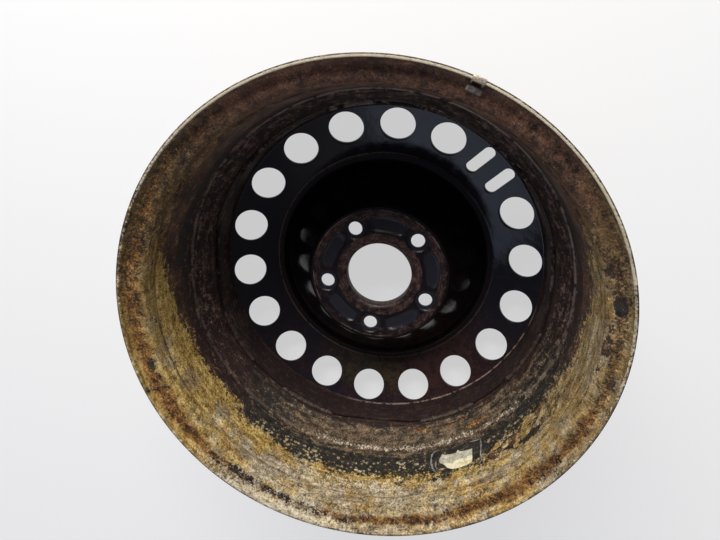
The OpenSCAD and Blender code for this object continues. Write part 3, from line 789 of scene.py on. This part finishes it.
def paint_disc(obj):
    """Masks of the disc's rust, dirt and wear, by wheel angle, radius and height."""
    co = points_of(obj)
    angle, r, z = wheel_angle(co), np.hypot(co[:, 0], co[:, 1]), co[:, 2]
    around, by_r, circle = partial(along, angle), partial(smooth, r), partial(band, r)
    wave = noise_at(co, 18, 4, 3)
    inboard = z > np.where(r > 122, ring_z(r) - 2.2, -60)
    # Bare rusted rings of the contact face and the wall of the bore
    bore = around((0, 0.9), (60, 1.05), (120, 1.0), (150, 0.9), (180, 0.5), (210, 0.75), (270, 0.45), (300, 0.8),
                  (330, 0.5))
    brim = around((0, 0.65), (30, 0.9), (60, 1.1), (90, 1.25), (120, 1.25), (150, 0.6), (180, 0.4), (240, 0.25),
                  (280, 0.35), (310, 0.55))
    rust = most(bore * circle(41, 7, 4.5), brim * circle(68.5, 6, 3.5)) * smooth(z, -1.3, -0.4)
    rust = most(rust, 0.7 * by_r(38, 36)) * (z > -COLLAR - 1)
    # Blue of the pockets, painted blue reflection on the vent ring and the bend into the hat, painted shade and grime
    # on the flange
    ring, flange = by_r(124, 127) * by_r(178, 175) * inboard, by_r(175.5, 177.5)
    blue_and_shade = most(
        smooth(z, -1.2, -2.0) * by_r(46, 48) * by_r(69, 67) * (z > -3),
        ring * around((0, 0.5), (30, 0.2), (60, 0.1), (90, 0.3), (120, 0.9), (150, 1), (180, 0.7), (210, 0.2)),
        flange * around((185, 0), (215, 0.7), (240, 1), (320, 1), (345, 0.4), (0, 0)))
    red = around((180, 0), (215, 0.3), (240, 0.3), (270, 0.4), (288, 0.7), (305, 0.75), (318, 0.4), (340, 0.1))
    red = (ring * red + 0.06 * wave) * (ring > 0)
    # Olive on the lower vent ring, and a painted highlight just inside the crown
    crown_highlight = around((60, 0.1), (95, 0.55), (130, 0.75), (170, 0.5), (215, 0.2), (300, 0.3))
    olive = around((200, 0), (235, 0.25), (258, 0.8), (276, 0.5), (290, 0))
    olive = most(ring * olive * by_r(176, 150), circle(124, 2.4, 0.8) * inboard * crown_highlight)
    # Painted highlight lines of the crown, the contact face and the flange, partly over worn lines
    line = around((60, 0.2), (95, 0.8), (175, 0.8), (200, 0.5), (330, 0.4), (0, 0.2))
    line = line * inboard * by_r(121, 123) * by_r(131, 129)
    # The pad's edges, the flange's scratches and its lower corner get thin painted highlights
    hair = around((18, 0), (26, 0.9), (72, 0.8), (84, 0.1), (108, 0.1), (118, 0.7), (150, 0.6), (162, 0.1), (172, 0.1),
                  (178, 0.7), (200, 0.6), (208, 0.1), (225, 0.1), (240, 0.5), (268, 0.5), (280, 0.1), (330, 0))
    scratch_glint = around((0, 0.5), (30, 0.8), (60, 1), (120, 1), (155, 0.9), (190, 0.8), (215, 0.2), (300, 0.1), (330, 0.3))
    corner = around((250, 0), (266, 0.8), (300, 1), (335, 0.9), (348, 0))
    hair = np.where(r > 150, np.where(z < -18, corner, scratch_glint) * by_r(175, 176), hair * (z > -3))
    # Bare metal on the free edge of the flange, which dips at the scallops, strongest at the top, where it is also a
    # painted highlight
    brink = around((10, 0.6), (40, 1), (120, 1), (150, 0.7), (190, 0.6), (215, 0), (345, 0)) * (r > 176)
    brink = brink * smooth(z - EDGE_Z + scallop((angle + VIEW_TURN) % 360), -1.1, -0.3)
    # A mask of nothing is put below 0, so that no noise brings it up
    coats = [np.where(mask > 0.02, mask, -0.4) for mask in (rust, red, 1.3 * flange, olive)]
    paint_attribute(obj, "coat", coats)
    paint_attribute(obj, "edges", (line + brink, blue_and_shade, by_r(74, 71), hair))


def make_welds():
    """Rippled beads in the corner between the disc's flange and the well."""
    verts, faces = [], []
    s = np.linspace(-0.5, 0.5, WELD_STEPS)
    run = s * math.radians(WELD_SPAN) * WELD_R
    ends = np.sqrt(np.clip((0.5 - np.abs(s)) * 16, 0.02, 1))
    t = np.radians(np.linspace(0, 90, WELD_POINTS - 1))
    corner_r, corner_z = WELD_R + WELD_GAP, EDGE_Z - WELD_GAP
    for n, middle in enumerate(WELD_ANGLES):
        bump = noise_at(polar(np.full(WELD_STEPS, WELD_R), middle + s * WELD_SPAN, 10.0), 7, 3, 5 + n)
        leg = WELD_LEG * ends * (1 + 0.1 * np.abs(np.sin(run * 1.35 + 2.5 * bump)) + 0.22 * bump)
        faces += tube_faces(len(verts), WELD_STEPS, WELD_POINTS)
        for k in range(WELD_STEPS):
            r = np.append(corner_r - leg[k] * np.cos(t), corner_r)
            z = np.append(corner_z + leg[k] * np.sin(t), corner_z)
            verts += list(polar(r, middle + s[k] * WELD_SPAN, z))
    return piece(outward(mesh_object("weld_beads", verts, faces)), "weld_seams")


def lip_path(reach):
    """Inside of the upper flange, from the flat of its face to the cut edge of the lip, with its bend radii."""
    inner_r = FLANGE_R - RIM_T
    face, bend = FACE_HIGH + RIM_T, FLANGE_BEND - RIM_T
    path = [np.array(p) for p in ((inner_r - bend - reach, face), (inner_r, face), (inner_r, LIP_HIGH))]
    return path, [0, bend, 0]


def plate(bm, path, low, high, width_low, width_high):
    """Adds a strip along a path of the section to a mesh: its thickness is from low to high, its width at the lip
    from width_low to width_high, measured from the weight's angle."""
    rings = []
    for i, p in enumerate(path):
        way = unit(path[min(i + 1, len(path) - 1)] - path[max(i - 1, 0)])
        ring = []
        for t, w in ((low, width_low), (low, width_high), (high, width_high), (high, width_low)):
            q = p + left_of(way) * t
            turn = WEIGHT_ANGLE + math.degrees(w / FLANGE_R)
            ring.append(bm.verts.new(polar(np.float64(q[0]), turn, q[1]) * MM))
        rings.append(ring)
    for a, b in zip(rings, rings[1:]):
        for j in range(4):
            bm.faces.new((a[j], b[j], b[(j + 1) % 4], a[(j + 1) % 4]))
    bm.faces.new(rings[0])
    bm.faces.new(rings[-1][::-1])


def finished(bm, name, soft):
    """An object from a mesh under work, with its sharp edges softened."""
    bmesh.ops.recalc_face_normals(bm, faces=bm.faces)
    edges = [e for e in bm.edges if len(e.link_faces) == 2 and e.calc_face_angle() > SHARP]
    bmesh.ops.bevel(bm, geom=edges, offset=soft * MM, segments=2, affect="EDGES", profile=0.5, clamp_overlap=True)
    mesh = bpy.data.meshes.new(name)
    bm.to_mesh(mesh)
    bm.free()
    mesh.shade_smooth()
    mesh.set_sharp_from_angle(angle=SHARP_CAST)
    return placed(name, mesh)


def make_weight():
    """Spring clip with two legs over the lip, and the cast block that it holds in the bend."""
    inside = filled(rounded(*lip_path(2), 10), 1.5)
    run = np.concatenate([[0], np.cumsum([np.linalg.norm(b - a) for a, b in zip(inside, inside[1:])])])
    legs = [p for p, s in zip(inside, run) if 5.0 < s < 11.6]
    over = [np.array(p) for p in ((FLANGE_R - RIM_T, LIP_HIGH), (FLANGE_R, LIP_HIGH), (FLANGE_R, LIP_HIGH - 5))]
    bent = rounded(*moved([inside[-2], *over], [0, 0.5, 0.5, 0], -CLIP_GAP), 30)
    half = CLIP_WIDTH / 2
    clip = bmesh.new()
    for path, low, high in (([inside[-3], inside[-2], *bent[1:]], -half, half), (legs, -half, -half + CLIP_LEG),
                            (legs, half - CLIP_LEG, half)):
        plate(clip, path, CLIP_GAP, CLIP_GAP + CLIP_T, low, high)
    block = bmesh.new()
    seat = [p for p, s in zip(inside, run) if s < 7.2]
    plate(block, seat, WEIGHT_GAP, WEIGHT_T, -WEIGHT_WIDTH / 2, WEIGHT_WIDTH / 2)
    return (piece(finished(clip, "clip_strip", 0.15), "weight_clip"),
            piece(finished(block, "weight_block", 0.7), "balance_weight"))


def pad_spot(u, z, off):
    """A point on the inside of the barrel: u along it from the pad's middle, off its surface."""
    r = SHOULDER_R + (BARREL_R - SHOULDER_R) * (z - SHOULDER_Z) / (BARREL_END - SHOULDER_Z) - RIM_T - off
    return polar(r, PAD_ANGLE + np.degrees(u / PAD_R), z)


def make_pad():
    """Torn foam of a stick-on weight with the smeared outline of its glue."""
    ring = np.array(filled([np.array(p) for p in (*PAD_OUTLINE, PAD_OUTLINE[0])], 0.9)[:-1])
    ring = ring + 0.35 * np.stack([flat_noise(ring, 2.5, 3, seed) for seed in (8, 9)], 1)
    middle = np.array(PAD_MIDDLE)
    verts, tone = [], []
    for share, height in PAD_RINGS:
        flat = middle + (ring - middle) * share
        lump = flat_noise(flat, 6, 4, 7) * 0.5 if height > 0.5 else 0
        verts += list(pad_spot(flat[:, 0], flat[:, 1], height + lump))
        tone += list(np.stack([smooth(flat[:, 1], 70, 82), 0 * flat[:, 0]], 1))
    faces = tube_faces(0, len(PAD_RINGS), len(ring))
    # Glue lines as thin raised threads
    shares, heights = (np.array(row) for row in GLUE_SECTION)
    for thread in GLUE_LINES:
        line = np.array(filled([np.array(p, float) for p in thread], 1.2))
        way = np.gradient(line, axis=0)
        way /= np.linalg.norm(way, axis=1)[:, None]
        aside = np.stack([-way[:, 1], way[:, 0]], 1)
        half = (0.85 + 0.6 * flat_noise(line, 4, 3, 11)).clip(0.3, 1.6)
        half = half * np.sqrt(np.sin(np.linspace(0.05, math.pi - 0.05, len(line))))
        line = line + aside * (0.5 * flat_noise(line, 6, 3, 12))[:, None]
        faces += tube_faces(len(verts), len(line), len(shares))
        for at, side, h in zip(line, aside, half):
            across = at + side * (shares * h)[:, None]
            verts += list(pad_spot(across[:, 0], across[:, 1], heights))
            tone += [(0.0, 1.0)] * len(shares)
    obj = outward(mesh_object("pad_foam", verts, faces))
    bottom, glue = np.array(tone).T
    paint_attribute(obj, "coat", (bottom, glue, 0 * bottom, 0 * bottom))
    return piece(obj, "adhesive_pad")


def rim_material():
    s = Shader("rim_rust_and_paint")
    ochre, red, worn, dark = s.paint("coat")
    pale, dust_and_sheen, gilt, speck = s.paint("dirt_and_highlights")
    line, brown, warm, rosy = s.paint("edges")
    fine, grain, mid = s.noise(1250, 2, 0.6), s.noise(520, 3, 0.65), s.noise(170, 4, 0.6)
    blot, broad = s.noise(70, 4, 0.6), s.noise(27, 3, 0.55)
    streak = s.noise(240, 4, 0.6, (0.22, 0.22, 1.0))
    mottle = s.blend_noises(0.5, (fine, 0.9), (grain, 1.1), (mid, 0.8), (streak, 0.8))
    c = s.ramps(mottle, RIM_RAMPS)
    # Rust and paint, under dust, which on the ridge and in the well is a painted highlight and sheen
    rust = s.ramp(s.blend_noises(mottle, (blot, 0.8), (broad, 0.5)), RUST)
    s.base = s.mix(s.broken(dark, (broad, 1.5), (mid, 1.0), (grain, 1.0)), rust, s.mix(warm, c.paint, c.warm_paint))
    dusty = s.broken(dust_and_sheen, (mid, 1.2), (grain, 0.9), (streak, 1.4), edge=(0.25, 0.75))
    s.coat(dusty, s.mix(warm, c.grey_dust, c.pink_dust), 0.75)
    # Golden crust with amber patches, and its islands below the edge
    crust = s.mix(s.broken(gilt, (blot, 1.8), (mid, 0.8), (broad, 1.2), edge=(0.2, 0.95)), c.beige, c.gold)
    amber = s.broken(0.5, (broad, 2.4), (blot, 1.6), edge=(0.5, 0.95))
    crust = s.mix(s.mul(amber, 0.55), crust, c.amber)
    islands = s.broken(s.cells(230), (grain, 0.4), (blot, 1.6), edge=(0.36, 0.26))
    lit = s.most(s.broken(ochre, (mid, 1.3), (grain, 1.3), (blot, 0.8), edge=(0.34, 0.7)),
                 s.mul(islands, s.span(speck, 0.15, 0.7)))
    s.coat(lit, crust)
    # Brown, reddish, worn and orange coats, and the pale coat of wear and painted highlights
    s.coat(s.broken(brown, (blot, 0.8), (mid, 0.8), (grain, 0.8), edge=(0.2, 0.9)), c.tan, 0.85)
    s.coat(s.broken(s.mul(rosy, 0.8), (blot, 1.2), (broad, 1.2), (mid, 0.8), edge=(0.2, 0.9)), c.flush, 0.8)
    s.coat(s.broken(worn, (mid, 1.6), (grain, 1.2), (blot, 1.2)), c.scuff, 0.55)
    orange = s.broken(red, (grain, 1.8), (fine, 1.4), (mid, 1.3), (blot, 0.8))
    s.coat(orange, s.mix(s.span(rosy, 0.1, 0.5), c.flame, c.brick), 0.85)
    s.coat(s.broken(pale, (grain, 1.7), (fine, 0.8), (mid, 1.2)), c.pale, 0.85)
    # A painted highlight on the top of the lip's cut edge
    lip_highlight = s.mul(s.span(pale, 0.8, 1.25), s.broken(0.7, (mid, 1.2), (blot, 0.8), edge=(0.3, 0.6)))
    s.coat(lip_highlight, LIP_HIGHLIGHT, 0.75)
    # A thin painted highlight along the ridge
    ridge_highlight = s.mul(s.line(s.axes()[2], RIDGE_Z, 0.002, 0.0007), line)
    s.coat(s.mul(ridge_highlight, s.broken(0.5, (mid, 1.0), (blot, 1.4), edge=(0.28, 0.52))), RIDGE_HIGHLIGHT)
    soft = s.most(s.most(lit, orange), s.mul(dusty, 0.6))
    rough = s.blend(soft, s.span(mottle, 0.25, 0.75, 0.5, 0.72), 0.82)
    relief = s.blend_noises(0.5, (grain, 0.7), (mid, 0.8), (fine, 0.35), (blot, 0.6))
    normal = s.bump(s.mul(relief, s.add(s.mul(soft, 0.6), 0.4)), 0.8, 0.0022)
    return s.done(Base_Color=s.base, Roughness=rough, Normal=normal, Specular_IOR_Level=0.28)


def disc_material():
    s = Shader("disc_black_paint")
    rust, red, grime, olive = s.paint("coat")
    line, blue_and_shade, hub, hair = s.paint("edges")
    fine, grain = s.noise(1250, 2, 0.6), s.noise(420, 3, 0.65)
    mid, broad = s.noise(120, 4, 0.6), s.noise(30, 3, 0.55)
    mottle = s.blend_noises(0.5, (fine, 0.8), (grain, 1.1), (mid, 0.9))
    c = s.ramps(mottle, DISC_RAMPS)
    turned = {"Vector": s.place(), "Scale": 70.0, "Distortion": 9.0, "Detail": 4.0, "Detail Scale": 2.0}
    rings = s.made("TexWave", "Fac", turned, wave_type="RINGS", rings_direction="Z")
    x, y, z = s.axes()
    out = s.math("SQRT", s.add(s.mul(x, x), s.mul(y, y)))
    # Tinted paint with a painted blue reflection on the vent ring, grime and painted shade on the flange, rust of the
    # contact face
    bare = s.broken(rust, (mid, 1.0), (grain, 0.6), (fine, 0.3), (broad, 1.2), (rings, 0.16), edge=(0.2, 0.9))
    dusty = s.broken(red, (mid, 0.5), (grain, 0.5), (broad, 0.6), edge=(0.1, 0.8))
    green = s.broken(olive, (mid, 0.5), (grain, 0.5), (broad, 0.6), edge=(0.1, 0.8))
    dirty = s.broken(grime, (mid, 1.2), (grain, 1.2), (broad, 0.8))
    # Blue-black on the pockets, and on the vent ring as a painted blue reflection
    s.base = s.mix(blue_and_shade, BLACK, BLUE_BLACK)
    s.coat(dusty, c.red, 0.6)
    s.coat(green, c.olive, 0.6)
    s.coat(dirty, c.grime, 0.85)
    # Painted shade on the lower flange
    s.coat(s.mul(blue_and_shade, dirty), c.shade, 0.9)
    worked = s.blend_noises(0.5, (fine, 0.45), (grain, 0.75), (mid, 1.0), (rings, 0.2))
    s.coat(bare, s.ramp(worked, HUB_RUST))
    # Painted highlight lines of the crown, the contact face and the flange, partly over worn lines
    s.coat(s.mul(s.mul(s.line(out, CROWN_HIGHLIGHT_R, 0.0009, 0.0002), line), s.span(mid, 0.3, 0.5)), CROWN_HIGHLIGHT)
    # Thin painted highlights along the edges of the bore, the rust rings, the pad and the flange's corner, partly over
    # worn lines
    for at, wear in CIRCLES:
        crest = s.mul(s.line(out, at, 0.0007, 0.0002), wear)
        s.coat(s.mul(s.mul(crest, hair), s.span(mid, 0.4, 0.55)), CIRCLE)
    # Bare metal on the flange's free edge, also a painted highlight towards the top
    tip = s.mul(line, s.span(out, 0.1765, 0.1775))
    s.coat(s.mul(tip, s.broken(0.5, (mid, 1.3), (grain, 1.0), (broad, 1.2), edge=(0.5, 0.8))), BRINK)
    # Scratches of the flange, painted as bright glints
    for at, wear in SCRATCH_GLINTS:
        crest = s.mul(s.mul(s.line(z, at, 0.0006, 0.0002), wear), hair)
        where = s.mul(s.span(out, 0.175, 0.1765), s.span(s.add(mid, s.mul(broad, 1.4)), 1.2, 1.4))
        s.coat(s.mul(crest, where), SCRATCH_GLINT)
    matt = s.most(s.most(s.mul(bare, 0.9), dirty), s.mul(s.most(dusty, green), 0.35))
    rough = s.blend(matt, s.add(s.span(mid, 0.35, 0.7, 0.08, 0.19), s.mul(hub, 0.22)), 0.66)
    rough = s.blend(dirty, rough, 0.85)
    normal = s.bump(s.add(s.mul(mid, 0.5), s.mul(grain, s.add(s.mul(matt, 1.1), 0.06))), 0.3, 0.0008)
    return s.done(Base_Color=s.base, Roughness=rough, Normal=normal, Specular_IOR_Level=0.36)


def mottled_material(name, noises, colours, rough, bump, **sockets):
    """A plain mottled material: noises are (weight, scale, detail, roughness, stretch)."""
    s = Shader(name)
    mottle = s.blend_noises(0.5, *[(s.noise(*settings), weight) for weight, *settings in noises])
    return s.done(Base_Color=s.ramp(mottle, colours), Roughness=s.span(mottle, 0.3, 0.7, *rough),
                  Normal=s.bump(mottle, *bump), **sockets)


def pad_material():
    s = Shader("pad_foam")
    bottom, glue, _, _ = s.paint("coat")
    fine, mid, broad = s.noise(1500, 3, 0.6), s.noise(420, 4, 0.6), s.noise(110, 4, 0.6)
    mottle = s.blend_noises(0.5, (fine, 0.8), (mid, 1.0), (broad, 1.0))
    c = s.ramps(mottle, PAD_RAMPS)
    s.base = s.mix(s.broken(bottom, (broad, 1.6), (mid, 0.8)), c.grey, c.cream)
    s.coat(s.span(glue, 0.3, 0.6), c.smear)
    return s.done(Base_Color=s.base, Roughness=s.span(mottle, 0.3, 0.7, 0.85, 0.6), Normal=s.bump(mottle, 0.5, 0.0007))


def dress(obj, mat):
    obj.data.materials.clear()
    obj.data.materials.append(mat)


def make_stage():
    """A pale floor, lit by the lamps and by a share of its own white where it is seen."""
    s = Shader("floor_white")
    rays = s.node("LightPath").outputs
    seen = s.most(s.most(rays["Is Camera Ray"], rays["Is Glossy Ray"]), rays["Is Transmission Ray"])
    glow = s.node("Emission")
    glow.inputs["Color"].default_value = (0.97, 0.97, 0.98, 1)
    both = s.node("MixShader")
    s.put(both.inputs[0], s.mul(seen, 0.6))
    s.put(both.inputs[1], s.bsdf.outputs[0])
    s.put(both.inputs[2], glow.outputs[0])
    s.put(s.tree.nodes["Material Output"].inputs[0], both.outputs[0])
    s.done(Base_Color=(0.9, 0.9, 0.9), Roughness=0.9)
    half = 12000
    corners = [(x * half, y * half, LIP_LOW) for x, y in ((-1, -1), (1, -1), (1, 1), (-1, 1))]
    floor = mesh_object("floor", corners, [(0, 1, 2, 3)], False)
    dress(floor, s.mat)


def make_world():
    """Soft light from the sides, darker from above."""
    world = bpy.data.worlds.new("studio")
    bpy.context.scene.world = world
    world.use_nodes = True
    tree = world.node_tree
    back = tree.nodes["Background"]
    where = tree.nodes.new("ShaderNodeTexCoord")
    split = tree.nodes.new("ShaderNodeSeparateXYZ")
    ramp = tree.nodes.new("ShaderNodeValToRGB")
    tree.links.new(where.outputs["Generated"], split.inputs[0])
    tree.links.new(split.outputs[2], ramp.inputs[0])
    e = ramp.color_ramp.elements
    e[0].position, e[0].color = 0.25, (0.93, 0.94, 0.97, 1)
    e[1].position, e[1].color = 0.7, (0.10, 0.10, 0.12, 1)
    tree.links.new(ramp.outputs[0], back.inputs["Color"])
    back.inputs["Strength"].default_value = 0.8


def lamp(name, azimuth, elevation, distance, size, power, colour):
    data = bpy.data.lights.new(name, "AREA")
    data.shape, data.size, data.size_y = "RECTANGLE", size[0], size[1]
    data.energy, data.color = power, colour
    obj = placed(name, data)
    a, e = math.radians(azimuth + VIEW_TURN), math.radians(elevation)
    way = Vector((math.cos(a) * math.cos(e), math.sin(a) * math.cos(e), math.sin(e)))
    obj.location = way * distance + Vector((0, 0, 0.04))
    obj.rotation_mode = "QUATERNION"
    obj.rotation_quaternion = way.to_track_quat("Z", "Y")


def make_camera():
    data = bpy.data.cameras.new("camera")
    data.lens, data.sensor_width = 27.25, 36.0
    data.clip_start, data.clip_end = 0.01, 100.0
    back = Vector((-0.1440, 0.3345, 0.9313)).normalized()
    right = Vector((0.6969, 0.7025, -0.1446))
    right = (right - back * right.dot(back)).normalized()
    place = Matrix((right, back.cross(right), back)).transposed().to_4x4()
    place.translation = (-0.10362, 0.18723, 0.55149)
    obj = placed("camera", data)
    obj.matrix_world = place
    bpy.context.scene.camera = obj


bpy.context.scene.view_settings.view_transform = "Standard"
make_camera()
make_stage()
make_world()
lamp("key", 95, 30, 1.6, (1.2, 0.6), 34, (1.0, 0.97, 0.92))
lamp("fill", 234, 34, 1.7, (1.4, 0.7), 2.6, (0.62, 0.72, 1.0))
dress(make_rim(), rim_material())
dress(make_disc(), disc_material())
dress(make_welds(), mottled_material(
    "weld_bead", ((1.0, 1100, 3, 0.6), (1.2, 230, 4, 0.6)),
    ((0.25, (0.010, 0.007, 0.006)), (0.55, (0.035, 0.02, 0.014)), (0.85, (0.12, 0.06, 0.03))),
    (0.38, 0.65), (0.5, 0.0008)))
clip, block = make_weight()
dress(clip, mottled_material(
    "clip_steel", ((0.8, 1500, 3, 0.6), (1.0, 400, 4, 0.6), (0.8, 900, 3, 0.6, (1.0, 1.0, 0.15))),
    ((0.2, (0.16, 0.12, 0.075)), (0.5, (0.42, 0.36, 0.27)), (0.8, (0.62, 0.56, 0.46))),
    (0.5, 0.36), (0.3, 0.0003), Metallic=0.35))
dress(block, mottled_material(
    "weight_zinc", ((0.8, 1500, 3, 0.6), (1.2, 350, 4, 0.6)),
    ((0.2, (0.035, 0.026, 0.022)), (0.5, (0.115, 0.095, 0.088)), (0.8, (0.24, 0.205, 0.19))),
    (0.7, 0.48), (0.4, 0.0005)))
dress(make_pad(), pad_material())
